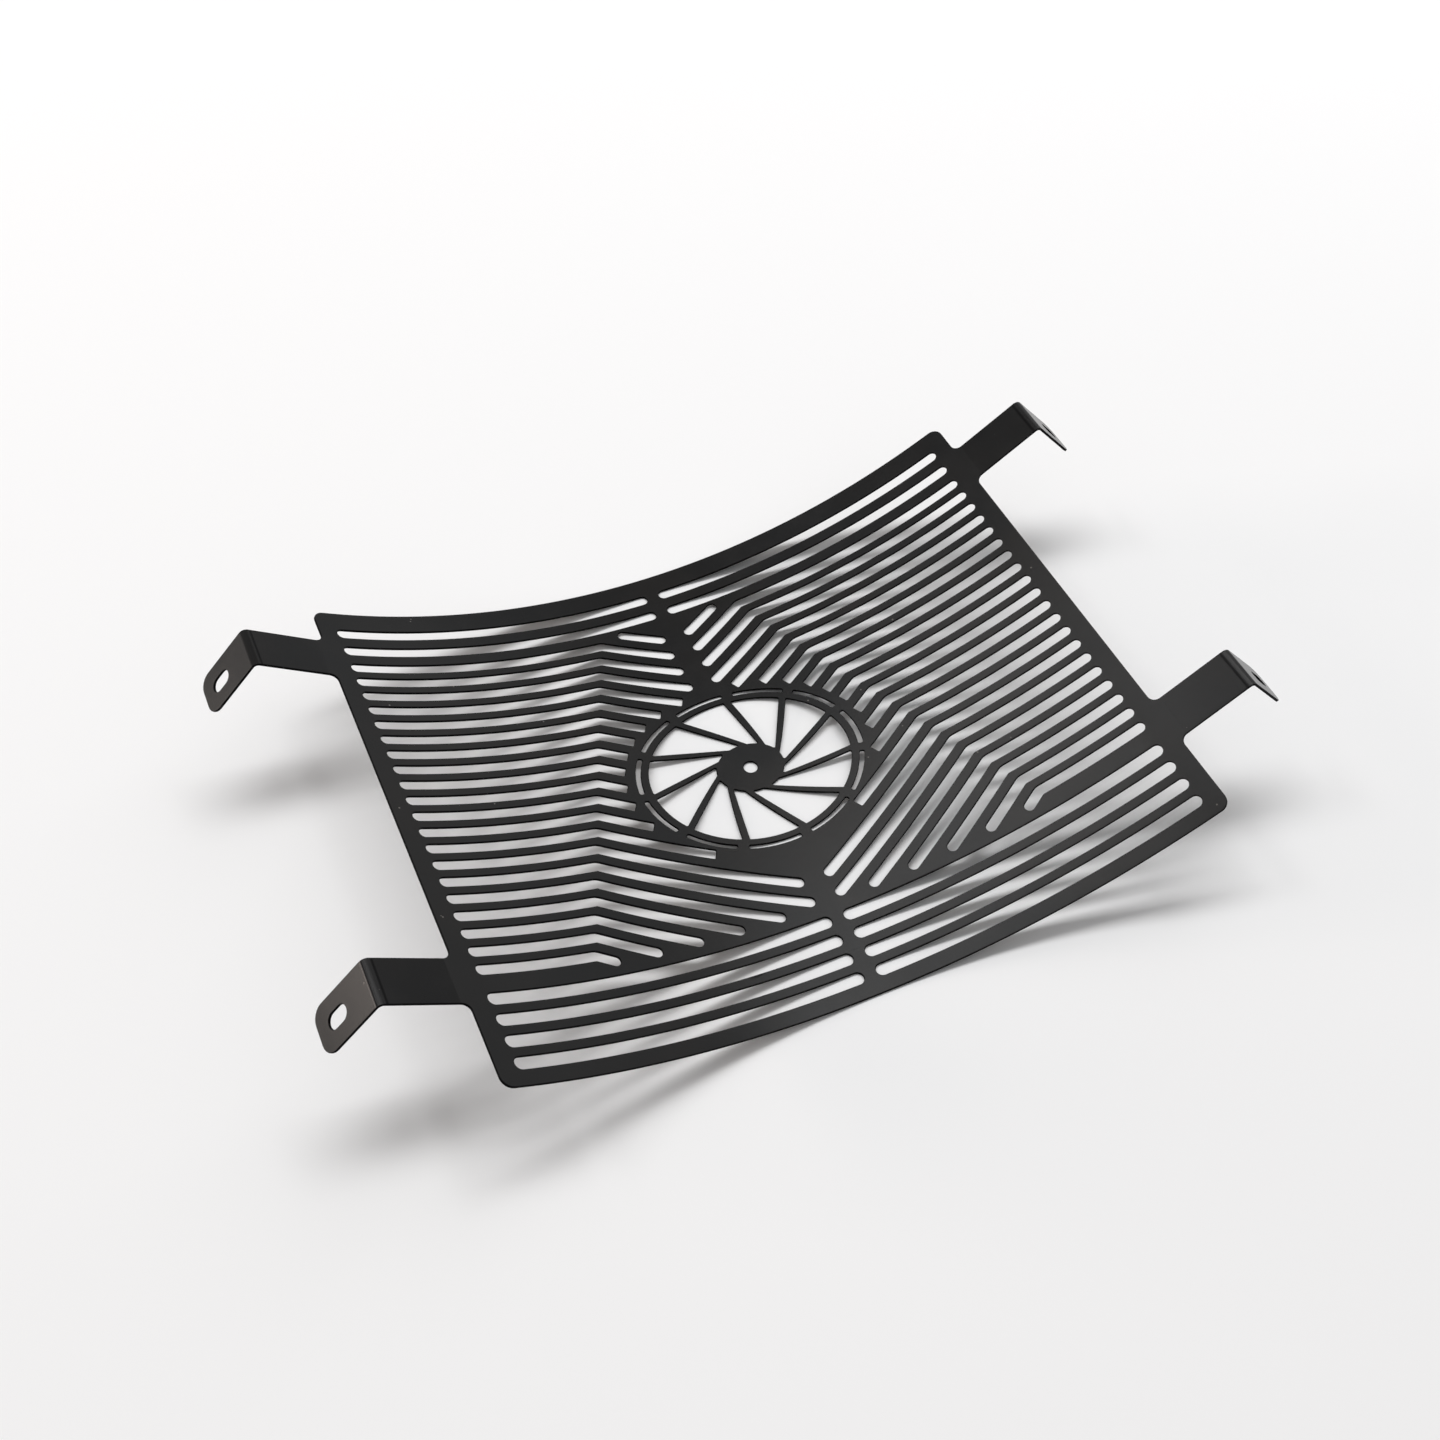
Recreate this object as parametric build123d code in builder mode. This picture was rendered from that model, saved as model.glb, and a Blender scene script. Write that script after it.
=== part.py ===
"""Motorcycle radiator guard: one perforated sheet, rolled across its width, with four folded fixing tabs.

Frame: X across the guard, Y from its lower edge to its upper edge, Z up, with the origin on the floor
under its middle. The guard lies on the back of its rolled belly with the hollow front face up. Lengths
are in mm, angles in degrees unless named turn. A level is a height above the lower edge.
"""
import os
from math import atan2, cos, degrees, pi, radians, sin, sqrt, tan

from build123d import *

os.makedirs("parts", exist_ok=True)

# The sheet. A brake sets its roll with a fold between each two of its flat strips. An arc is a length
# along the front face from the middle line.
thickness = 1.0
front_radius = 247.0
half_arc = 135.5
strip_count = 21
height = 203.5
corner_radius = 4.0

# Rows of slots on each side of the spine. A drop is measured down from the upper edge to a row's middle
# line, and a rise up from the lower edge. All rows keep the same side rim outside their tips.
side_rim = 6.8
top_slot_width = 4.2
top_spine = 5.1
top_drop = 10.6
top_pitch = 8.8
top_count = 2
bottom_slot_width = 4.5
bottom_spine = 4.8
bottom_rise = 7.95
bottom_pitch = 7.85
bottom_count = 4

# Each slot end is a half of this many-sided polygon, which stays within 0.08 mm of the true round.
end_sides = 12

# Bent slots: level from the tip to the bend line, then a leg that falls towards the spine. The bend line
# starts at the upper edge and leans outwards on its way down.
bent_slot_width = 3.9
bent_spine = 8.5
bent_drop = 28.0
bent_pitch = 7.0
bend_start_arc = 17.1
bend_lean = 0.425
leg_slope = 0.563
leg_tip_gap = 6.8
least_leg_drop = 3.0
short_leg_inset = 7.2

# Oval emblem in the middle: a rotor of curved vanes inside a ring of short slits. Radii are measured up
# and down, and the oval is wider than tall by the stretch.
emblem_stretch = 1.22
vane_count = 11
vane_inner_radius = 10.5
vane_outer_radius = 31.2
vane_rib = 2.3
vane_twist = 34.0
vane_belly = 9.0
hub_hole_radius = 2.6
slit_ring_gap = 3.2
slit_width = 1.5
slit_gap = 3.4
emblem_margin = 4.1

# Fixing tabs: an arm that turns a little forward beyond its flared root, folded back into a slotted
# flange. Lengths run to and from the corner where the front faces of arm and flange would meet.
tab_width = 17.0
upper_tab_drop = 23.5
lower_tab_rise = 39.1
arm_turn = 5.0
arm_length = 31.2
root_radius = 3.0
bend_inner_radius = 1.5
fold_angle = 82.0
flange_length = 27.6
flange_corner = 5.0
fixing_slot_width = 5.5
fixing_slot_length = 9.0
fixing_slot_distance = 17.8

# Levels and arcs that follow from these sizes.
tip_arc = half_arc - side_rim
top_rows = [height - top_drop - row * top_pitch for row in range(top_count)]
bottom_rows = [bottom_rise + row * bottom_pitch for row in range(bottom_count)]
leg_floor = bottom_rows[-1] + leg_tip_gap
bent_count = int((height - bent_drop - leg_floor - least_leg_drop) / bent_pitch) + 1
bent_rows = [height - bent_drop - row * bent_pitch for row in range(bent_count)]
emblem_level = height / 2
slit_radius = vane_outer_radius + slit_ring_gap
emblem_border = slit_radius + emblem_margin

strip_arc = 2 * half_arc / strip_count
fold_step = strip_arc / front_radius
strip_radius = strip_arc / 2 / tan(fold_step / 2)
axis_height = strip_radius + thickness
overcut = 1.0


def strip_turn(arc):
    """Turn of the flat strip that an arc position lies on."""
    last = strip_count // 2
    return fold_step * max(-last, min(last, round(arc / strip_arc)))


def front_plane(arc, level):
    """Plane on the front face: x across, y up the sheet, z out of the hollow front."""
    turn = strip_turn(arc)
    offset = arc - turn / fold_step * strip_arc
    x = strip_radius * sin(turn) + offset * cos(turn)
    z = axis_height - strip_radius * cos(turn) + offset * sin(turn)
    return Plane(origin=(x, level - height / 2, z), x_dir=(cos(turn), 0, sin(turn)),
                 z_dir=(-sin(turn), 0, cos(turn)))


def cut_plane(arc, level):
    """The same plane, moved to just behind the sheet."""
    return front_plane(arc, level).offset(-thickness - overcut)


def bend_arc_at(level):
    """Arc position of the bend line at a level."""
    return bend_start_arc + bend_lean * (height - level)


def roll_rise(reach):
    """Rise of the rolled sheet above a plane on its front face, at a reach from the point of contact."""
    return front_radius * (1 - cos(reach / front_radius))


def section_line(start_arc, end_arc, depth):
    """Points across the sheet at a depth behind its front face: both ends and each fold between them."""
    first, last = (round(strip_turn(arc) / fold_step) for arc in (start_arc, end_arc))
    ends = [front_plane(arc, 0).offset(-depth).origin for arc in (start_arc, end_arc)]
    fold_radius = (strip_radius + depth) / cos(fold_step / 2)
    turns = [fold_step * (strip + 0.5) for strip in range(first, last)]
    folds = [(fold_radius * sin(turn), axis_height - fold_radius * cos(turn)) for turn in turns]
    return [(ends[0].X, ends[0].Z), *folds, (ends[1].X, ends[1].Z)]


def band(start_arc, end_arc, low, high, margin=0.0):
    """Piece of the sheet between two arc positions and two levels, thicker by a margin on each face."""
    with BuildPart() as piece:
        with BuildSketch(Plane(origin=(0, high - height / 2, 0), x_dir=(1, 0, 0), z_dir=(0, -1, 0))):
            with BuildLine():
                front = section_line(start_arc, end_arc, -margin)
                back = section_line(start_arc, end_arc, thickness + margin)
                Polyline(*front, *reversed(back), close=True)
            make_face()
        extrude(amount=high - low)
    return piece.part


def end_tool(arc, level, radius):
    """Cutter for a slot end, square to the sheet."""
    with BuildPart() as piece:
        with BuildSketch(cut_plane(arc, level)):
            RegularPolygon(radius, end_sides)
        extrude(amount=thickness + 2 * overcut)
    return piece.part


def straight_slot(inner_tip, outer_tip, level, width):
    """Cutters for a level slot with full round ends."""
    radius = width / 2
    start, end = inner_tip + radius, outer_tip - radius
    body = band(start, end, level - radius, level + radius, overcut)
    return [body, end_tool(start, level, radius), end_tool(end, level, radius)]


def leg_end(bend_arc, bend_level):
    """Arc position of a leg's tip, and whether the border of the emblem stops it there."""
    base = bend_level - leg_slope * bend_arc
    stop = max(bent_spine / 2, (leg_floor - base) / leg_slope)
    a = 1 / emblem_stretch ** 2 + leg_slope ** 2
    b = leg_slope * (base - emblem_level)
    c = (base - emblem_level) ** 2 - emblem_border ** 2
    if b * b < a * c:
        return stop, False
    crossing = (sqrt(b * b - a * c) - b) / a
    return max(stop, crossing), crossing > stop


def leg_tool(bend_arc, bend_level, joins_level):
    """Cutter for a leg that starts at a bend, or with a free end of its own there."""
    radius = bent_slot_width / 2
    tip_arc_position, meets_emblem = leg_end(bend_arc, bend_level)
    run = bend_arc - tip_arc_position
    middle = cut_plane(bend_arc - run / 2, bend_level - leg_slope * run / 2)

    def flat(arc, level):
        local = middle.to_local_coords(front_plane(arc, level).origin)
        return Vector(local.X, local.Y)

    start = flat(bend_arc, bend_level)
    end = flat(tip_arc_position, bend_level - leg_slope * run)
    along = (end - start).normalized()
    side = Vector(along.Y, -along.X) * radius
    up = Vector(0, radius)
    turn = degrees(atan2(along.Y, along.X))
    with BuildPart() as piece:
        with BuildSketch(middle):
            if joins_level:
                mitre = (up + side) * (1 / (1 + up.dot(side) / radius ** 2))
                head = [start + Vector(radius, radius), start + mitre]
            else:
                head = [start + side]
                with Locations(start):
                    RegularPolygon(radius, end_sides, rotation=turn)
            if not meets_emblem:
                end = end - along * radius
                with Locations(end):
                    RegularPolygon(radius, end_sides, rotation=turn)
            with BuildLine():
                Polyline(*head, end + side, end - side, start - side, close=True)
            make_face()
        extrude(amount=thickness + 2 * overcut + roll_rise(run / 2 + radius))
    return piece.part


def bent_slot(level):
    """Cutters for one bent slot on the right side."""
    radius = bent_slot_width / 2
    bend_arc = bend_arc_at(level)
    outer = tip_arc - radius
    body = band(bend_arc, outer, level - radius, level + radius, overcut)
    return [body, end_tool(outer, level, radius), leg_tool(bend_arc, level, True)]


# Cutters of the right side, then their mirror images.
right_tools = []
for row in top_rows:
    right_tools += straight_slot(top_spine / 2, tip_arc, row, top_slot_width)
for row in bottom_rows:
    right_tools += straight_slot(bottom_spine / 2, tip_arc, row, bottom_slot_width)
for row in bent_rows:
    right_tools += bent_slot(row)

# Above the first bent slot there is room only for a short leg.
short_level = bent_rows[0] + bent_pitch
short_start = bend_arc_at(short_level) - short_leg_inset
right_tools.append(leg_tool(short_start, short_level - leg_slope * short_leg_inset, False))
left_tools = [mirror(tool, about=Plane.YZ) for tool in right_tools]

# Emblem cutters, square to the middle of the sheet.
vane_pitch = 2 * pi / vane_count


def oval_point(radius, turn):
    return (emblem_stretch * radius * cos(turn), radius * sin(turn))


def vane_side(middle_turn, edge):
    """Three points along one side of a vane opening, from the hub outwards; edge is -1 or 1."""
    points = []
    for share in (0, 0.5, 1):
        radius = vane_inner_radius + share * (vane_outer_radius - vane_inner_radius)
        sweep = radians(vane_twist * share + vane_belly * 4 * share * (1 - share))
        turn = middle_turn + sweep + edge * (vane_pitch / 2 - vane_rib / (2 * radius))
        points.append(oval_point(radius, turn))
    return points


def oval_arc(radius, start, end):
    return ThreePointArc(*[oval_point(radius, turn) for turn in (start, (start + end) / 2, end)])


with BuildPart() as emblem_tool:
    with BuildSketch(cut_plane(0, emblem_level)):
        Circle(hub_hole_radius)
        for index in range(vane_count):
            middle_turn = index * vane_pitch
            with BuildLine():
                near_side = ThreePointArc(*vane_side(middle_turn, -1))
                far_side = ThreePointArc(*vane_side(middle_turn, 1))
                spread = vane_pitch / 2 - vane_rib / (2 * vane_inner_radius)
                oval_arc(vane_inner_radius, middle_turn - spread, middle_turn + spread)
                spread = vane_pitch / 2 - vane_rib / (2 * vane_outer_radius)
                swept_turn = middle_turn + radians(vane_twist)
                oval_arc(vane_outer_radius, swept_turn - spread, swept_turn + spread)
            make_face()
            with BuildLine():
                spread = (vane_pitch - slit_gap / slit_radius) / 2
                inner = oval_arc(slit_radius - slit_width / 2, middle_turn - spread, middle_turn + spread)
                outer = oval_arc(slit_radius + slit_width / 2, middle_turn - spread, middle_turn + spread)
                Line(inner @ 0, outer @ 0)
                Line(inner @ 1, outer @ 1)
            make_face()
    extrude(amount=thickness + 2 * overcut + roll_rise(emblem_stretch * emblem_border))

# Tabs of the right side. The section starts at the end of the root, and runs along the arm, round the
# fold and down the flange.
root_turn = radians(arm_turn)
fold_turn = radians(fold_angle)
bend_outer_radius = bend_inner_radius + thickness
corner = Vector(arm_length - root_radius, 0)
bend_centre = (corner.X - bend_outer_radius * tan(fold_turn / 2), -bend_outer_radius)
flange_along = Vector(cos(fold_turn), -sin(fold_turn))
flange_back = Vector(-sin(fold_turn), -cos(fold_turn))
tip = corner + flange_along * flange_length
hole = corner + flange_along * fixing_slot_distance
root_back = (-thickness * sin(root_turn), -thickness * cos(root_turn))
arm_back = (-thickness * tan(root_turn / 2), -thickness)


def tab(level):
    """Root, arm, fold and flange of one right-hand tab."""
    edge = front_plane(half_arc, level)
    root_end = Plane(origin=edge.from_local_coords((root_radius, 0, 0)), x_dir=edge.x_dir, z_dir=edge.z_dir)
    arm = root_end.rotated((0, -arm_turn, 0))
    side = Plane(origin=arm.origin + Vector(0, tab_width / 2, 0), x_dir=arm.x_dir, z_dir=(0, -1, 0))
    root_width = tab_width + 2 * root_radius
    with BuildPart() as piece:
        with BuildSketch(edge):
            with Locations((root_radius / 2, 0)):
                Rectangle(root_radius, root_width)
            with Locations((root_radius, root_width / 2), (root_radius, -root_width / 2)):
                Circle(root_radius, mode=Mode.SUBTRACT)
        extrude(amount=-thickness)
        with BuildSketch(side):
            with BuildLine():
                outer = CenterArc(bend_centre, bend_outer_radius, 90, -fold_angle)
                inner = CenterArc(bend_centre, bend_inner_radius, 90, -fold_angle)
                Polyline(inner @ 0, arm_back, root_back, (0, 0), outer @ 0)
                Polyline(outer @ 1, tip, tip + flange_back * thickness, inner @ 1)
            make_face()
        extrude(amount=tab_width)
        tip_point = side.from_local_coords((tip.X, tip.Y, tab_width / 2))
        corners = piece.edges().filter_by(
            lambda e: abs(e.length - thickness) < 0.001 and (e.center() - tip_point).length < tab_width)
        fillet(corners, radius=flange_corner)
        hole_point = side.from_local_coords((hole.X, hole.Y, tab_width / 2))
        along = (tip_point - hole_point).normalized()
        with BuildSketch(Plane(origin=hole_point, x_dir=along, z_dir=along.cross(Vector(0, 1, 0)))):
            SlotOverall(fixing_slot_length, fixing_slot_width)
        extrude(amount=thickness + overcut, both=True, mode=Mode.SUBTRACT)
    return piece.part


right_tabs = [tab(height - upper_tab_drop), tab(lower_tab_rise)]
left_tabs = [mirror(piece, about=Plane.YZ) for piece in right_tabs]

blank = band(-half_arc, half_arc, 0, height)

with BuildPart() as radiator_guard:
    add(blank)
    sheet_corners = radiator_guard.edges().filter_by(lambda e: abs(e.length - thickness) < 0.001)
    fillet(sheet_corners, radius=corner_radius)
    add(right_tabs + left_tabs)
    add(right_tools + left_tools, mode=Mode.SUBTRACT)
    add(emblem_tool.part, mode=Mode.SUBTRACT)

radiator_guard.part.label = "radiator_guard"
export_step(radiator_guard.part, "parts/radiator_guard.step")
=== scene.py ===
"""Looks of a motorcycle radiator guard that lies on a pale floor with its hollow front up.

Lengths are in metres in the frame of the CAD part: X across the guard, Y from its lower edge to its
upper edge, Z up. The guard is one piece, cut from a flat drawing with rounded edges, then rolled and
folded as the CAD part is, with a satin powder coat.
"""
from math import asin, ceil, cos, pi, radians, sin, sqrt, tan

import bmesh
import bpy
from mathutils import Euler, Matrix, Vector


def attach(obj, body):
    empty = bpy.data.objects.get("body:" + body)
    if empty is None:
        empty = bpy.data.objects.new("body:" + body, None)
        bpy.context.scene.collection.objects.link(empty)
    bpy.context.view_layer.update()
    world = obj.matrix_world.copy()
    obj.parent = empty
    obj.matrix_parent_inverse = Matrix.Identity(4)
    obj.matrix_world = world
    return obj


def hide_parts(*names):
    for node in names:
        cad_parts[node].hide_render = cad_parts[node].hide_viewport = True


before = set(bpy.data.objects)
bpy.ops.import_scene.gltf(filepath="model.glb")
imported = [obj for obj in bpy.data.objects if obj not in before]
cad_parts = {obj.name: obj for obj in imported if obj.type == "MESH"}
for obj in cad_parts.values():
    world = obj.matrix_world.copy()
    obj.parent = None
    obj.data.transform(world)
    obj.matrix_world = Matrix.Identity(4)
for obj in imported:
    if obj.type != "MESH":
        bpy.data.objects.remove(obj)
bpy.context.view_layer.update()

# The sheet, rolled across its width and drawn flat. An arc is a length along its front face from the
# middle line, and a level a height above its lower edge. The CAD part is rolled in flat strips. The
# smooth roll here touches the middle of each strip.
THICKNESS = 0.001
HEIGHT = 0.2035
HALF_ARC = 0.1355
CORNER_RADIUS = 0.004
ROLL_RADIUS = 0.247
STRIP_COUNT = 21
STRIP_ARC = 2 * HALF_ARC / STRIP_COUNT
STRIP_TURN = STRIP_ARC / ROLL_RADIUS
STRIP_RADIUS = STRIP_ARC / 2 / tan(STRIP_TURN / 2)

# The rows of slots. The first upper and the first bent row are measured from the upper edge.
SIDE_RIM = 0.0068
TIP_ARC = HALF_ARC - SIDE_RIM
TOP_FIRST, TOP_PITCH = 0.0106, 0.0088
TOP_ROWS = [HEIGHT - TOP_FIRST - row * TOP_PITCH for row in range(2)]
TOP_WIDTH, TOP_SPINE = 0.0042, 0.0051
BOTTOM_FIRST, BOTTOM_PITCH = 0.00795, 0.00785
BOTTOM_ROWS = [BOTTOM_FIRST + row * BOTTOM_PITCH for row in range(4)]
BOTTOM_WIDTH, BOTTOM_SPINE = 0.0045, 0.0048
BENT_FIRST, BENT_PITCH = 0.028, 0.007
BENT_ROWS = [HEIGHT - BENT_FIRST - row * BENT_PITCH for row in range(20)]
BENT_WIDTH, BENT_SPINE = 0.0039, 0.0085
BEND_START, BEND_LEAN = 0.0171, 0.425
BEND_CORNER = 0.0005
LEG_SLOPE = 0.563
LEG_CLEARANCE = 0.0068
LEG_FLOOR = BOTTOM_ROWS[-1] + LEG_CLEARANCE
SHORT_LEG_INSET = 0.0072

# The oval emblem. Radii are measured up and down. A vane turns by the twist from the hub to its outer
# end, and bows by the belly midway.
EMBLEM_LEVEL = HEIGHT / 2
EMBLEM_STRETCH = 1.22
VANE_COUNT = 11
VANE_PITCH = 2 * pi / VANE_COUNT
VANE_INNER, VANE_OUTER = 0.0105, 0.0312
VANE_RIB = 0.0023
VANE_TWIST, VANE_BELLY = radians(34), radians(9)
VANE_CORNER = 0.0005
HUB_HOLE = 0.0026
SLIT_DISTANCE, BORDER_DISTANCE = 0.0032, 0.0041
SLIT_RADIUS = VANE_OUTER + SLIT_DISTANCE
SLIT_WIDTH, SLIT_GAP = 0.0015, 0.0034
SLIT_CORNER = SLIT_WIDTH * 0.45
EMBLEM_BORDER = SLIT_RADIUS + BORDER_DISTANCE

# The tabs: root, a slight turn forward, arm, fold, and a flange with its fixing slot.
TAB_WIDTH = 0.017
TAB_LEVELS = [0.0391, HEIGHT - 0.0235]
ROOT_RADIUS = 0.003
ARM_TURN, ARM_TURN_RADIUS = radians(5), 0.002
ARM_LENGTH = 0.0312
FOLD_TURN, FOLD_RADIUS = radians(82), 0.0025
FLANGE_LENGTH, FLANGE_CORNER = 0.0276, 0.005
FIXING_WIDTH, FIXING_LENGTH, FIXING_DISTANCE = 0.0055, 0.009, 0.0178

# The rounding that the coat leaves on the cut edges, and how fine the outlines and the bends are.
EDGE_ROUND, EDGE_ROUND_STEPS = 0.00024, 1
CORNER_STEP = radians(15)
HOLE_STEPS, VANE_SIDE_STEPS, OUTER_ARC_STEPS, HUB_ARC_STEPS = 24, 12, 8, 3
ROLL_STEP = 0.0032
TURN_PARTS, FOLD_PARTS = 2, 10

# Below these, a corner counts as straight, two outline points as one, a place as on a cut, and two
# vertices as one. A vertex past the face share of half the thickness is on a face of the sheet.
LEAST_TURN = 0.01
POINT_TOLERANCE, CUT_TOLERANCE, MERGE_TOLERANCE = 1e-5, 1e-5, 1e-6
FACE_SHARE = 0.999

# The way along the front face from the middle line to a flange's tip, as pieces of flat sheet. Each has
# its length, its turn towards the front, and the radius of its front face.
TURN_SETBACK = ARM_TURN_RADIUS * tan(ARM_TURN / 2)
FOLD_SETBACK = FOLD_RADIUS * tan(FOLD_TURN / 2)
ROLLED_ARC = (STRIP_COUNT // 2) * STRIP_ARC
TURN_LENGTH = ARM_TURN_RADIUS * ARM_TURN
FOLD_LENGTH = FOLD_RADIUS * FOLD_TURN
WAY = [
    (ROLLED_ARC, ROLLED_ARC / ROLL_RADIUS, STRIP_RADIUS),
    (HALF_ARC + ROOT_RADIUS - TURN_SETBACK - ROLLED_ARC, 0, 0),
    (TURN_LENGTH, ARM_TURN, ARM_TURN_RADIUS),
    (ARM_LENGTH - ROOT_RADIUS - TURN_SETBACK - FOLD_SETBACK, 0, 0),
    (FOLD_LENGTH, -FOLD_TURN, -FOLD_RADIUS),
    (FLANGE_LENGTH - FOLD_SETBACK, 0, 0),
]
TURN_START = sum(length for length, _, _ in WAY[:2])
FOLD_START = sum(length for length, _, _ in WAY[:4])
FLANGE_START = FOLD_START + FOLD_LENGTH
FLANGE_TIP = FLANGE_START + WAY[-1][0]

# The painted shade beside each fold, where the crease darkens, as the arc positions of four cuts. It is
# darkest between the middle two and fades out towards the others.
CREASE_SHADE_STEP = 0.0004
CREASE_SHADE_LINE = [FOLD_START - step * CREASE_SHADE_STEP for step in range(4)]
CREASE_SHADE_SHARE = 0.7

# The powder coat: its colours, and how much each pattern adds to the colour and to the roughness.
COOL_BLACK, WARM_BLACK = (0.0041, 0.0043, 0.0047, 1), (0.0075, 0.0066, 0.0061, 1)
PATCH_COLOUR, PATCH_SHARE = (0.0102, 0.0095, 0.0095, 1), 0.35
DUST_COLOUR, DUST_SHARE = (0.30, 0.28, 0.26, 1), 0.4
# Painted shade: the cut edges and a thin line beside each fold are drawn in this darker, less glossy
# black.
PAINTED_SHADE_BLACK = (0.0022, 0.0022, 0.0024, 1)
SATIN_ROUGHNESS, DULL_ROUGHNESS = 0.145, 0.5
PATCH_ROUGHNESS, GRAIN_ROUGHNESS, DUST_ROUGHNESS = 0.10, 0.06, 0.2
SATIN_GLOSS, PAINTED_SHADE_GLOSS = 0.096, 0.02
PEEL_DEPTH, GRAIN_DEPTH = 0.000007, 0.0000015

# The floor and the room. The floor fades to white between two distances from the middle of the guard.
WHITE = (1, 1, 1, 1)
FLOOR_REACH = 6.0
FLOOR_GREY, FLOOR_SEEN = (0.80, 0.80, 0.80, 1), (0.93, 0.93, 0.935, 1)
FADE_START, FADE_END = 0.5, 2.2
FAR_STRENGTH, ROOM_STRENGTH, SEEN_STRENGTH = 0.97, 0.30, 1.0
LAMP_TARGET = Vector((0, 0, 0.02))

# The photograph's camera: its place, its turns about X, Y and Z in degrees, and its lens in millimetres.
CAMERA_PLACE = (-0.172369, -0.317915, 0.4805)
CAMERA_TURNS = (38.5518, -1.6817, -24.461)
CAMERA_LENS = 41.112


def front_at(arc):
    """Place across, height and turn of the front face at an arc position on the right side."""
    across, up, turn = 0, THICKNESS, 0
    for length, bend, radius in WAY:
        part = min(arc, length)
        if bend:
            end = turn + bend * part / length
            across += radius * (sin(end) - sin(turn))
            up += radius * (cos(turn) - cos(end))
            turn = end
        else:
            across += part * cos(turn)
            up += part * sin(turn)
        arc -= part
        if arc <= 0:
            break
    return across, up, turn


def rounded(corners):
    """Outline points for corners given as (arc, level, radius), with an arc of points at each radius."""
    points = []
    for index, (arc, level, radius) in enumerate(corners):
        here = Vector((arc, level))
        before = Vector(corners[index - 1][:2]) - here
        after = Vector(corners[(index + 1) % len(corners)][:2]) - here
        turn = pi - before.angle(after)
        if radius == 0 or turn < LEAST_TURN:
            points.append(here)
            continue
        setback = radius * tan(turn / 2)
        middle = here + (before.normalized() + after.normalized()).normalized() * radius / cos(turn / 2)
        start = here + before.normalized() * setback - middle
        way = 1 if before.x * after.y - before.y * after.x < 0 else -1
        steps = max(2, ceil(turn / CORNER_STEP))
        for step in range(steps + 1):
            swing = Vector(start)
            swing.rotate(Matrix.Rotation(way * turn * step / steps, 2))
            points.append(middle + swing)
    return [point for index, point in enumerate(points)
            if (point - points[index - 1]).length > POINT_TOLERANCE]


def slot(inner, outer, level, width):
    """A level slot with round ends."""
    low, high, radius = level - width / 2, level + width / 2, width / 2
    return [(inner, low, radius), (outer, low, radius), (outer, high, radius), (inner, high, radius)]


def leg_end(bend_arc, bend_level):
    """Arc position of a leg's tip, and whether the border of the emblem stops it there."""
    base = bend_level - LEG_SLOPE * bend_arc
    stop = max(BENT_SPINE / 2, (LEG_FLOOR - base) / LEG_SLOPE)
    # The leg's line crosses the oval border where a * arc ** 2 + 2 * b * arc + c is zero.
    a = 1 / EMBLEM_STRETCH ** 2 + LEG_SLOPE ** 2
    b = LEG_SLOPE * (base - EMBLEM_LEVEL)
    c = (base - EMBLEM_LEVEL) ** 2 - EMBLEM_BORDER ** 2
    if b * b < a * c:
        return stop, False
    crossing = (sqrt(b * b - a * c) - b) / a
    return max(stop, crossing), crossing > stop


def bent_slot(level, short=False):
    """A slot that runs level from its tip to the bend line and then falls towards the spine.

    The short one is the leg alone. The two sides of a bend share a middle, so the slot keeps its width.
    """
    radius = BENT_WIDTH / 2
    bend_arc = BEND_START + BEND_LEAN * (HEIGHT - level)
    if short:
        bend_arc -= SHORT_LEG_INSET
        level -= LEG_SLOPE * SHORT_LEG_INSET
    tip, meets_emblem = leg_end(bend_arc, level)
    bend = Vector((bend_arc, level))
    end = Vector((tip, level - LEG_SLOPE * (bend_arc - tip)))
    along = (end - bend).normalized()
    side = Vector((along.y, -along.x)) * radius
    end_radius = VANE_CORNER if meets_emblem else radius
    leg = [(*(end + side), end_radius), (*(end - side), end_radius)]
    if short:
        return [(*(bend + side - along * radius), radius), *leg,
                (*(bend - side - along * radius), radius)]
    up = Vector((0, radius))
    mitre = (up + side) / (1 + up.dot(side) / radius ** 2)
    return [(TIP_ARC, level + radius, radius), (*(bend + mitre), BEND_CORNER + BENT_WIDTH), *leg,
            (*(bend - mitre), BEND_CORNER), (TIP_ARC, level - radius, radius)]


def oval_point(radius, turn):
    return Vector((EMBLEM_STRETCH * radius * cos(turn), radius * sin(turn)))


def arc_through(first, middle, last, steps):
    """Points on the round arc through three points."""
    chord, side = middle - first, last - first
    turn = 2 * (chord.x * side.y - chord.y * side.x)
    centre = first + Vector((side.y * chord.length_squared - chord.y * side.length_squared,
                             chord.x * side.length_squared - side.x * chord.length_squared)) / turn
    swing = (first - centre).angle_signed(last - centre)
    points = []
    for step in range(steps + 1):
        spoke = first - centre
        spoke.rotate(Matrix.Rotation(-swing * step / steps, 2))
        points.append(centre + spoke)
    return points


def oval_arc(radius, start, end, steps):
    return arc_through(*[oval_point(radius, turn) for turn in (start, (start + end) / 2, end)], steps)


def unrolled(sides, corner):
    """Flat outline from sides that are drawn as seen from the front and meet at rounded corners."""
    outline = []
    for side in sides:
        for index, point in enumerate(side[:-1]):
            arc = ROLL_RADIUS * asin(point.x / ROLL_RADIUS)
            outline.append((arc, EMBLEM_LEVEL + point.y, corner if index == 0 else 0))
    return outline


def vane_spread(radius):
    """Half of the turn that a vane opening takes up at a radius."""
    return VANE_PITCH / 2 - VANE_RIB / (2 * radius)


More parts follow.
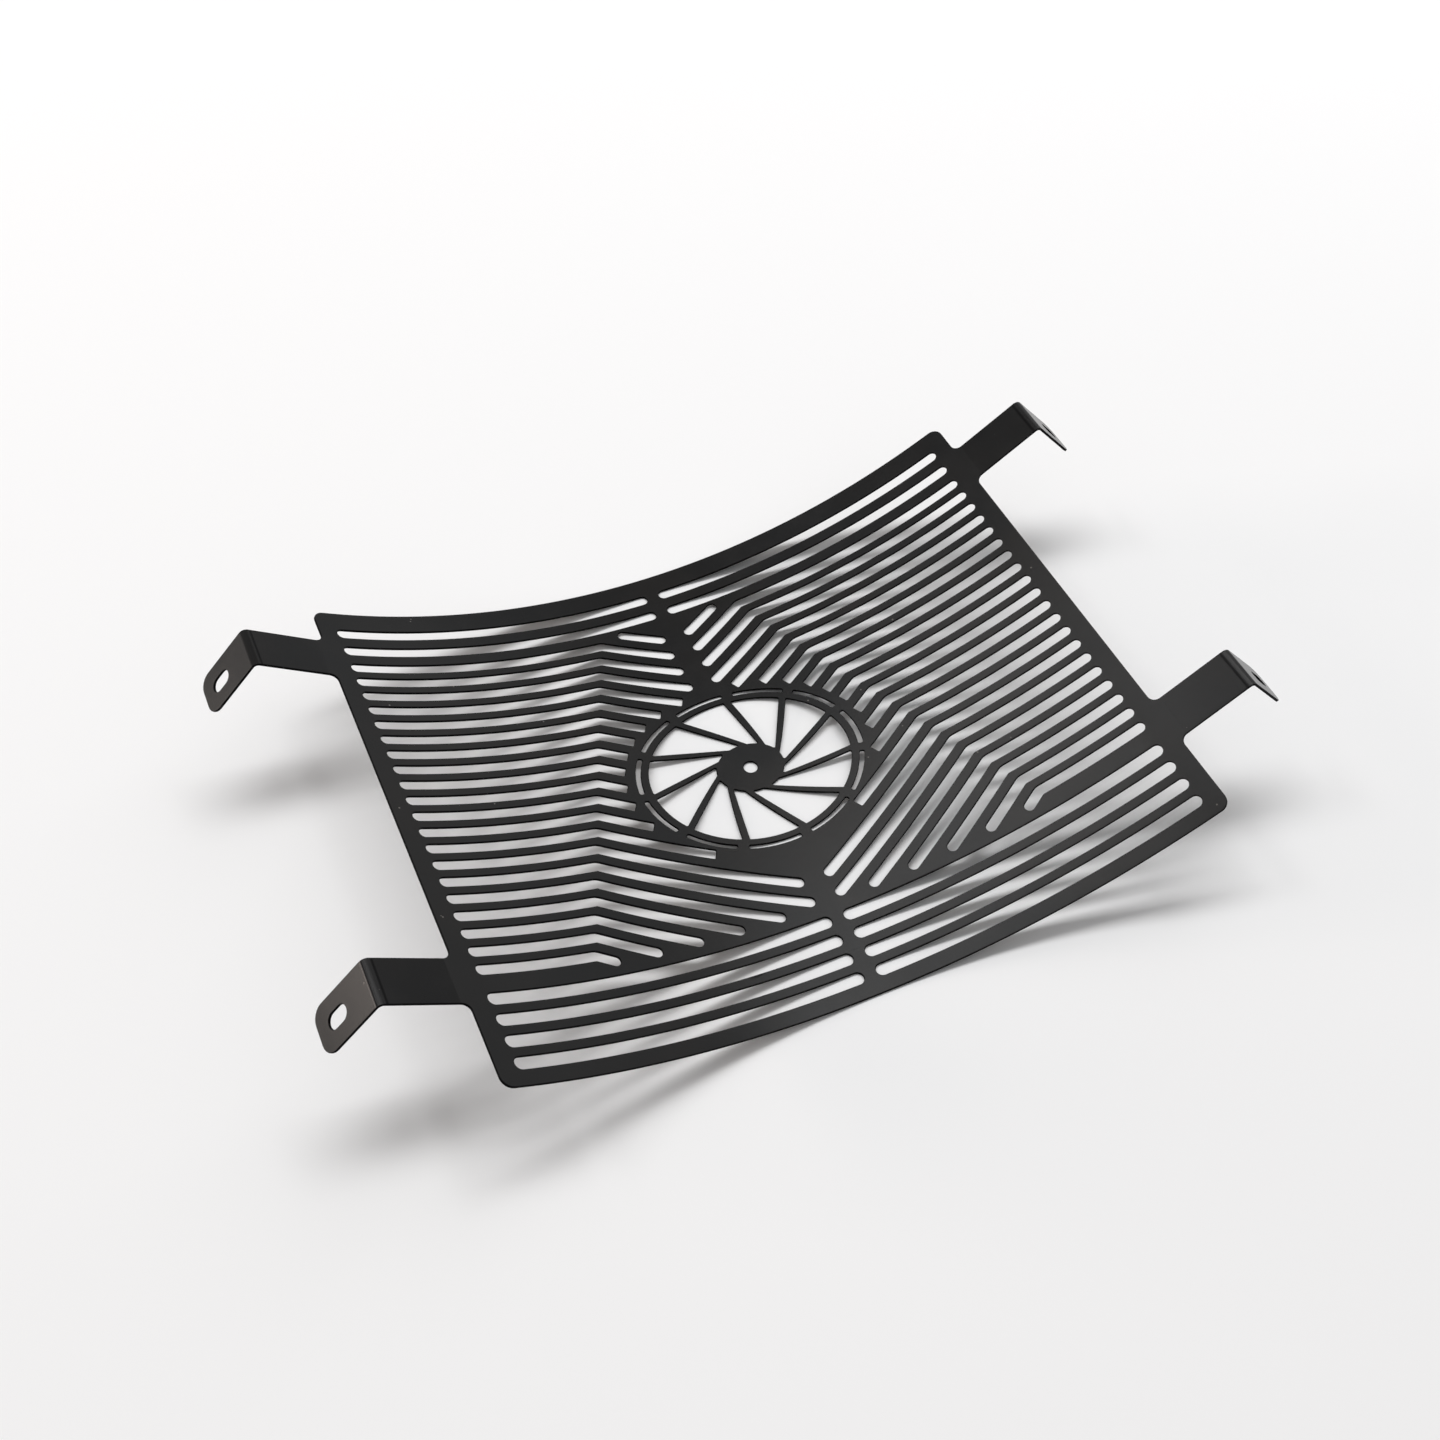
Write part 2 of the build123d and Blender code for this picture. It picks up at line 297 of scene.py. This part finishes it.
def vane_side(middle, edge):
    """One side of a vane opening, from the hub outwards; edge is -1 or 1."""
    points = []
    for share in (0, 0.5, 1):
        radius = VANE_INNER + share * (VANE_OUTER - VANE_INNER)
        sweep = VANE_TWIST * share + VANE_BELLY * 4 * share * (1 - share)
        points.append(oval_point(radius, middle + sweep + edge * vane_spread(radius)))
    return arc_through(*points, VANE_SIDE_STEPS)


def vane_opening(middle):
    """Outline of one opening between two curved vanes; middle is the turn of its middle at the hub."""
    inner_spread, outer_spread = vane_spread(VANE_INNER), vane_spread(VANE_OUTER)
    outer_middle = middle + VANE_TWIST
    return unrolled([
        vane_side(middle, -1),
        oval_arc(VANE_OUTER, outer_middle - outer_spread, outer_middle + outer_spread, OUTER_ARC_STEPS),
        vane_side(middle, 1)[::-1],
        oval_arc(VANE_INNER, middle + inner_spread, middle - inner_spread, HUB_ARC_STEPS)], VANE_CORNER)


def slit(middle):
    """Outline of one slit of the ring round the vanes."""
    spread = (VANE_PITCH - SLIT_GAP / SLIT_RADIUS) / 2
    inner = oval_arc(SLIT_RADIUS - SLIT_WIDTH / 2, middle + spread, middle - spread, OUTER_ARC_STEPS)
    outer = oval_arc(SLIT_RADIUS + SLIT_WIDTH / 2, middle - spread, middle + spread, OUTER_ARC_STEPS)
    return unrolled([outer, [outer[-1], inner[0]], inner, [inner[-1], outer[0]]], SLIT_CORNER)


def emblem():
    """Outlines of the emblem: the round hub hole, the vane openings and the ring of slits."""
    hole = [oval_point(HUB_HOLE, step * 2 * pi / HOLE_STEPS) for step in range(HOLE_STEPS + 1)]
    for point in hole:
        point.x /= EMBLEM_STRETCH
    outlines = [unrolled([hole], 0)]
    for vane in range(VANE_COUNT):
        outlines += [vane_opening(vane * VANE_PITCH), slit(vane * VANE_PITCH)]
    return outlines


def mirrored(outline):
    return [(-arc, level, radius) for arc, level, radius in reversed(outline)]


def sheet_edge():
    """Outline of the whole flat sheet with its tabs."""
    right = [(HALF_ARC, 0, CORNER_RADIUS)]
    for level in TAB_LEVELS:
        low, high = level - TAB_WIDTH / 2, level + TAB_WIDTH / 2
        right += [(HALF_ARC, low, ROOT_RADIUS), (FLANGE_TIP, low, FLANGE_CORNER),
                  (FLANGE_TIP, high, FLANGE_CORNER), (HALF_ARC, high, ROOT_RADIUS)]
    right.append((HALF_ARC, HEIGHT, CORNER_RADIUS))
    return right + mirrored(right)


def flat_drawing():
    """All outlines of the flat sheet."""
    right = [slot(TOP_SPINE / 2, TIP_ARC, level, TOP_WIDTH) for level in TOP_ROWS]
    right += [slot(BOTTOM_SPINE / 2, TIP_ARC, level, BOTTOM_WIDTH) for level in BOTTOM_ROWS]
    right += [bent_slot(level) for level in BENT_ROWS]
    right.append(bent_slot(BENT_ROWS[0] + BENT_PITCH, short=True))
    fixing = FLANGE_START + FIXING_DISTANCE - FOLD_SETBACK
    right += [slot(fixing - FIXING_LENGTH / 2, fixing + FIXING_LENGTH / 2, level, FIXING_WIDTH)
              for level in TAB_LEVELS]
    return [sheet_edge(), *right, *[mirrored(outline) for outline in right], *emblem()]


def cut_flat_sheet():
    """The flat sheet as a bmesh, cut from the drawing with rounded edges; its front face is on top."""
    drawing = bpy.data.curves.new("flat_drawing", "CURVE")
    drawing.dimensions = "2D"
    drawing.fill_mode = "BOTH"
    drawing.extrude = THICKNESS / 2 - EDGE_ROUND
    drawing.bevel_depth = EDGE_ROUND
    drawing.bevel_resolution = EDGE_ROUND_STEPS
    drawing.offset = -EDGE_ROUND
    for outline in flat_drawing():
        points = rounded(outline)
        spline = drawing.splines.new("POLY")
        spline.points.add(len(points) - 1)
        for point, place in zip(spline.points, points):
            point.co = (place.x, place.y - HEIGHT / 2, 0, 1)
        spline.use_cyclic_u = True
    pattern = bpy.data.objects.new("flat_drawing", drawing)
    mesh = bpy.data.meshes.new_from_object(pattern)
    bm = bmesh.new()
    bm.from_mesh(mesh)
    bpy.data.objects.remove(pattern)
    bpy.data.curves.remove(drawing)
    bpy.data.meshes.remove(mesh)
    bmesh.ops.remove_doubles(bm, verts=bm.verts, dist=MERGE_TOLERANCE)
    bmesh.ops.recalc_face_normals(bm, faces=bm.faces)
    return bm


def cross_cuts():
    """Arc positions of the cuts across the sheet for its roll, turns, folds and the painted crease
    shade.
    """
    cuts = [step * ROLL_STEP for step in range(int(ROLLED_ARC / ROLL_STEP) + 1)] + [ROLLED_ARC]
    cuts += [TURN_START + TURN_LENGTH * part / TURN_PARTS for part in range(TURN_PARTS + 1)]
    cuts += [FOLD_START + FOLD_LENGTH * part / FOLD_PARTS for part in range(FOLD_PARTS + 1)]
    cuts += CREASE_SHADE_LINE[1:]
    return sorted({-cut for cut in cuts} | set(cuts))


def make_guard():
    """The whole guard as one piece: cut flat, then rolled and folded.

    The flat faces keep straight normals up to the rounded edges. A vertex attribute paints shade: it is
    1 on the cut edges and less in a thin line beside each fold.
    """
    bm = cut_flat_sheet()
    for cut in cross_cuts():
        bmesh.ops.bisect_plane(bm, geom=bm.verts[:] + bm.edges[:] + bm.faces[:], dist=CUT_TOLERANCE,
                               plane_co=(cut, 0, 0), plane_no=(1, 0, 0))
    bm.normal_update()
    shade_mask = bm.verts.layers.float.new("painted_shade_mask")
    normals = []
    for vert in bm.verts:
        arc, offset = vert.co.x, vert.co.z
        on_face = abs(offset) / (THICKNESS / 2) > FACE_SHARE
        # Painted shade: the cut edges get the full shade mask, and a thin line beside each fold a share
        # of it.
        on_crease_shade = CREASE_SHADE_LINE[2] - CUT_TOLERANCE < abs(arc) < CREASE_SHADE_LINE[1] + CUT_TOLERANCE
        vert[shade_mask] = CREASE_SHADE_SHARE * on_crease_shade if on_face else 1
        normal = Vector((0, 0, offset)).normalized() if on_face else vert.normal.copy()
        across, up, turn = front_at(abs(arc))
        depth = THICKNESS / 2 - offset
        way = 1 if arc > 0 else -1
        vert.co.x = way * (across + depth * sin(turn))
        vert.co.z = up - depth * cos(turn)
        normal.rotate(Euler((0, -way * turn, 0)))
        normals.append(normal)
    mesh = bpy.data.meshes.new("guard_sheet")
    bm.to_mesh(mesh)
    bm.free()
    mesh.shade_smooth()
    mesh.normals_split_custom_set_from_vertices(normals)
    guard = bpy.data.objects.new("guard_sheet", mesh)
    bpy.context.scene.collection.objects.link(guard)
    return guard


class Wire:
    """A number in a material, which takes part in Python sums."""

    def __init__(self, finish, socket):
        self.finish = finish
        self.socket = socket

    def math(self, operation, first, second):
        inputs = {0: first, 1: second}
        return self.finish.node("ShaderNodeMath", {"operation": operation}, inputs)["Value"]

    def __add__(self, other):
        return self.math("ADD", self, other)

    def __radd__(self, other):
        return self.math("ADD", other, self)

    def __mul__(self, other):
        return self.math("MULTIPLY", self, other)

    def __rmul__(self, other):
        return self.math("MULTIPLY", other, self)

    def __gt__(self, other):
        return self.math("GREATER_THAN", self, other)

    def __lt__(self, other):
        return self.math("LESS_THAN", self, other)


class Finish:
    """A material, or the world, built node by node."""

    def __init__(self, owner):
        self.owner = owner
        owner.use_nodes = True
        self.tree = owner.node_tree
        self.tree.nodes.clear()

    def node(self, kind, settings=None, inputs=None):
        """Adds a node and returns its outputs by name.

        Its settings come first, then the values or wires of its sockets, by name or by number.
        """
        made = self.tree.nodes.new(kind)
        for name, value in (settings or {}).items():
            setattr(made, name, value)
        for key, value in (inputs or {}).items():
            if isinstance(value, Wire):
                self.tree.links.new(value.socket, made.inputs[key])
            else:
                made.inputs[key].default_value = value
        return {socket.identifier: Wire(self, socket) for socket in made.outputs}

    def place(self):
        """The place on the piece, in metres."""
        return self.node("ShaderNodeTexCoord")["Object"]

    def seen(self):
        """1 on rays that show a surface, also in gloss or through glass, and 0 on rays that light it."""
        rays = self.node("ShaderNodeLightPath")
        return rays["Is Camera Ray"] + rays["Is Glossy Ray"] + rays["Is Transmission Ray"]

    def noise(self, place, scale, detail=2.0, roughness=0.5):
        return self.node("ShaderNodeTexNoise", inputs={
            "Vector": place, "Scale": scale, "Detail": detail, "Roughness": roughness})["Fac"]

    def fade(self, value, start, end, low=0.0, high=1.0):
        """A value that goes smoothly from low to high as the given one goes from start to end."""
        return self.node("ShaderNodeMapRange", {"interpolation_type": "SMOOTHSTEP"}, {
            "Value": value, "From Min": start, "From Max": end, "To Min": low, "To Max": high})["Result"]

    def blend(self, share, first, second):
        """A colour between two, which are the node's sockets 6 and 7."""
        inputs = {0: share, 6: first, 7: second}
        return self.node("ShaderNodeMix", {"data_type": "RGBA"}, inputs)["Result_Color"]

    def mix(self, share, first, second):
        """A shader between two."""
        return self.node("ShaderNodeMixShader", inputs={0: share, 1: first, 2: second})["Shader"]


def powder_coat():
    """Satin black powder coat: soft mottling, orange peel, a fine grain and a few specks of dust.

    Painted shade makes the cut edges and a thin line beside each fold darker and dull.
    """
    finish = Finish(bpy.data.materials.new("satin_black_powder"))
    place = finish.place()
    cloud = finish.noise(place, scale=16.0, detail=3.0)
    patch = finish.noise(place, scale=75.0, detail=4.0, roughness=0.6)
    grain = finish.noise(place, scale=2600.0)
    peel = finish.noise(place, scale=620.0, roughness=0.4)
    # Painted shade on the cut edges and beside the folds, read from the mesh.
    shade_mask = finish.node("ShaderNodeAttribute", {"attribute_name": "painted_shade_mask"})["Fac"]
    specks = finish.node("ShaderNodeTexVoronoi", inputs={"Vector": place, "Scale": 140.0})["Distance"]
    chosen = finish.noise(place, scale=30.0, detail=1.0) > 0.52
    dust = finish.fade(specks, start=0.03, end=0.06, low=1.0, high=0.0) * chosen

    colour = finish.blend(finish.fade(cloud, start=0.36, end=0.66), COOL_BLACK, WARM_BLACK)
    patch_share = finish.fade(patch, start=0.45, end=0.75) * PATCH_SHARE
    colour = finish.blend(patch_share, colour, PATCH_COLOUR)
    colour = finish.blend(dust * DUST_SHARE, colour, DUST_COLOUR)
    roughness = (SATIN_ROUGHNESS + patch * PATCH_ROUGHNESS + grain * GRAIN_ROUGHNESS
                 + dust * DUST_ROUGHNESS)

    peel_bump = finish.node("ShaderNodeBump", inputs={
        "Strength": 1.0, "Distance": PEEL_DEPTH, "Height": peel})["Normal"]
    grain_bump = finish.node("ShaderNodeBump", inputs={
        "Strength": 1.0, "Distance": GRAIN_DEPTH, "Height": grain, "Normal": peel_bump})["Normal"]
    satin_shader = finish.node("ShaderNodeBsdfPrincipled", inputs={
        "Base Color": colour, "Roughness": roughness, "Normal": grain_bump,
        "Specular IOR Level": SATIN_GLOSS})["BSDF"]
    # Painted shade: a darker, less glossy coat for the cut edges and the creases beside the folds.
    painted_shade_shader = finish.node("ShaderNodeBsdfPrincipled", inputs={
        "Base Color": PAINTED_SHADE_BLACK, "Roughness": DULL_ROUGHNESS, "Specular IOR Level": PAINTED_SHADE_GLOSS})["BSDF"]
    surface = finish.mix(shade_mask, satin_shader, painted_shade_shader)
    finish.node("ShaderNodeOutputMaterial", inputs={"Surface": surface})
    return finish.owner


def pale_floor():
    """The floor keeps its shadows and, where it is seen, fades to the white of the room farther away."""
    finish = Finish(bpy.data.materials.new("pale_floor"))
    seen = finish.seen()
    matt = finish.node("ShaderNodeBsdfDiffuse", inputs={"Color": FLOOR_GREY})["BSDF"]
    bright = finish.node("ShaderNodeBsdfDiffuse", inputs={"Color": FLOOR_SEEN})["BSDF"]
    near = finish.mix(seen, matt, bright)
    distance = finish.node("ShaderNodeVectorMath", {"operation": "LENGTH"}, {0: finish.place()})["Value"]
    white = finish.node("ShaderNodeEmission", inputs={
        "Color": WHITE, "Strength": FAR_STRENGTH})["Emission"]
    far = finish.fade(distance, FADE_START, FADE_END) * seen
    finish.node("ShaderNodeOutputMaterial", inputs={"Surface": finish.mix(far, near, white)})
    return finish.owner


def soft_world():
    """A plain grey room for the light, and a white one where it is seen."""
    finish = Finish(bpy.data.worlds.new("soft_room"))
    seen = finish.seen()
    room, white = [
        finish.node("ShaderNodeBackground", inputs={"Color": WHITE, "Strength": strength})["Background"]
        for strength in (ROOM_STRENGTH, SEEN_STRENGTH)]
    finish.node("ShaderNodeOutputWorld", inputs={"Surface": finish.mix(seen, room, white)})
    bpy.context.scene.world = finish.owner


def make_floor():
    bm = bmesh.new()
    bmesh.ops.create_grid(bm, x_segments=1, y_segments=1, size=FLOOR_REACH)
    mesh = bpy.data.meshes.new("floor")
    bm.to_mesh(mesh)
    bm.free()
    floor = bpy.data.objects.new("floor", mesh)
    bpy.context.scene.collection.objects.link(floor)
    floor.data.materials.append(pale_floor())


def make_lamp(name, place, length, width, watts, colour=(1, 1, 1)):
    """A soft lamp that points at the middle of the guard."""
    light = bpy.data.lights.new(name, "AREA")
    light.shape = "RECTANGLE"
    light.size = length
    light.size_y = width
    light.energy = watts
    light.color = colour
    lamp = bpy.data.objects.new(name, light)
    lamp.location = place
    lamp.rotation_euler = (LAMP_TARGET - lamp.location).to_track_quat("-Z", "Y").to_euler()
    bpy.context.scene.collection.objects.link(lamp)


def make_camera():
    view = bpy.data.cameras.new("photo_view")
    view.lens = CAMERA_LENS
    camera = bpy.data.objects.new("photo_view", view)
    camera.location = CAMERA_PLACE
    camera.rotation_euler = Euler([radians(turn) for turn in CAMERA_TURNS], "XYZ")
    bpy.context.scene.collection.objects.link(camera)
    bpy.context.scene.camera = camera


guard = make_guard()
guard.data.materials.append(powder_coat())
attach(guard, "root")
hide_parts("radiator_guard")

make_floor()
soft_world()
make_lamp("overhead_lamp", place=(0.26, 1.59, 3.5), length=4.0, width=0.9, watts=82)
make_lamp("side_lamp", place=(-1.8, 1.43, 2.4), length=0.6, width=0.6, watts=10)
make_lamp("fill_lamp", place=(1.2, 0.67, 1.2), length=1.4, width=1.4, watts=7)
make_lamp("low_lamp", place=(-2.6, 1.38, 0.45), length=1.0, width=1.0, watts=43, colour=(1.0, 0.88, 0.8))
make_camera()
bpy.context.scene.view_settings.view_transform = "Standard"
